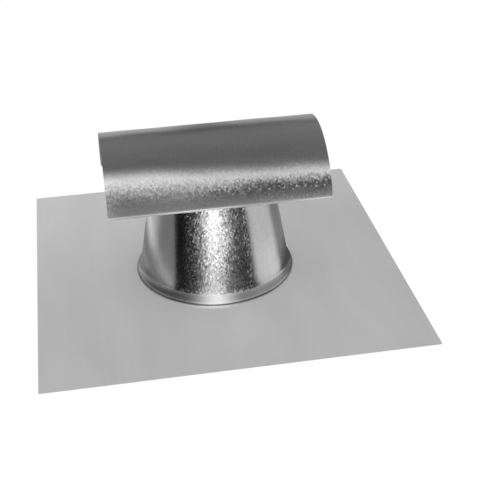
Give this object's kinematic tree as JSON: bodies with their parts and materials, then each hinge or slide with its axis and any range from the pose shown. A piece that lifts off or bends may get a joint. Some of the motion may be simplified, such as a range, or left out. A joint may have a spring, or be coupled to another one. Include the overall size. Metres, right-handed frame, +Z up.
{
  "type": "roof exhaust vent",
  "caption": "Galvanised roof exhaust vent: square flashing sheet, tapered round collar with a flared foot, and an arched tunnel hood open at both ends that sheds rain.",
  "frame": {"origin": "middle of the square flashing sheet's underside, on the collar's axis", "axes": "+Z up from the roof deck along the collar, +X along the hood's tunnel, +Y to the back where the collar's seam lies"},
  "size_m": [0.305, 0.305, 0.127],
  "materials": {
    "flashing_sheet": "matt galvanised sheet",
    "vent_sheet": "bright galvanised sheet with fine spangle"
  },
  "bodies": {
    "root": {"base_flashing": "flashing_sheet", "tapered_collar": "vent_sheet", "hood": "vent_sheet"}
  },
  "joints": []
}
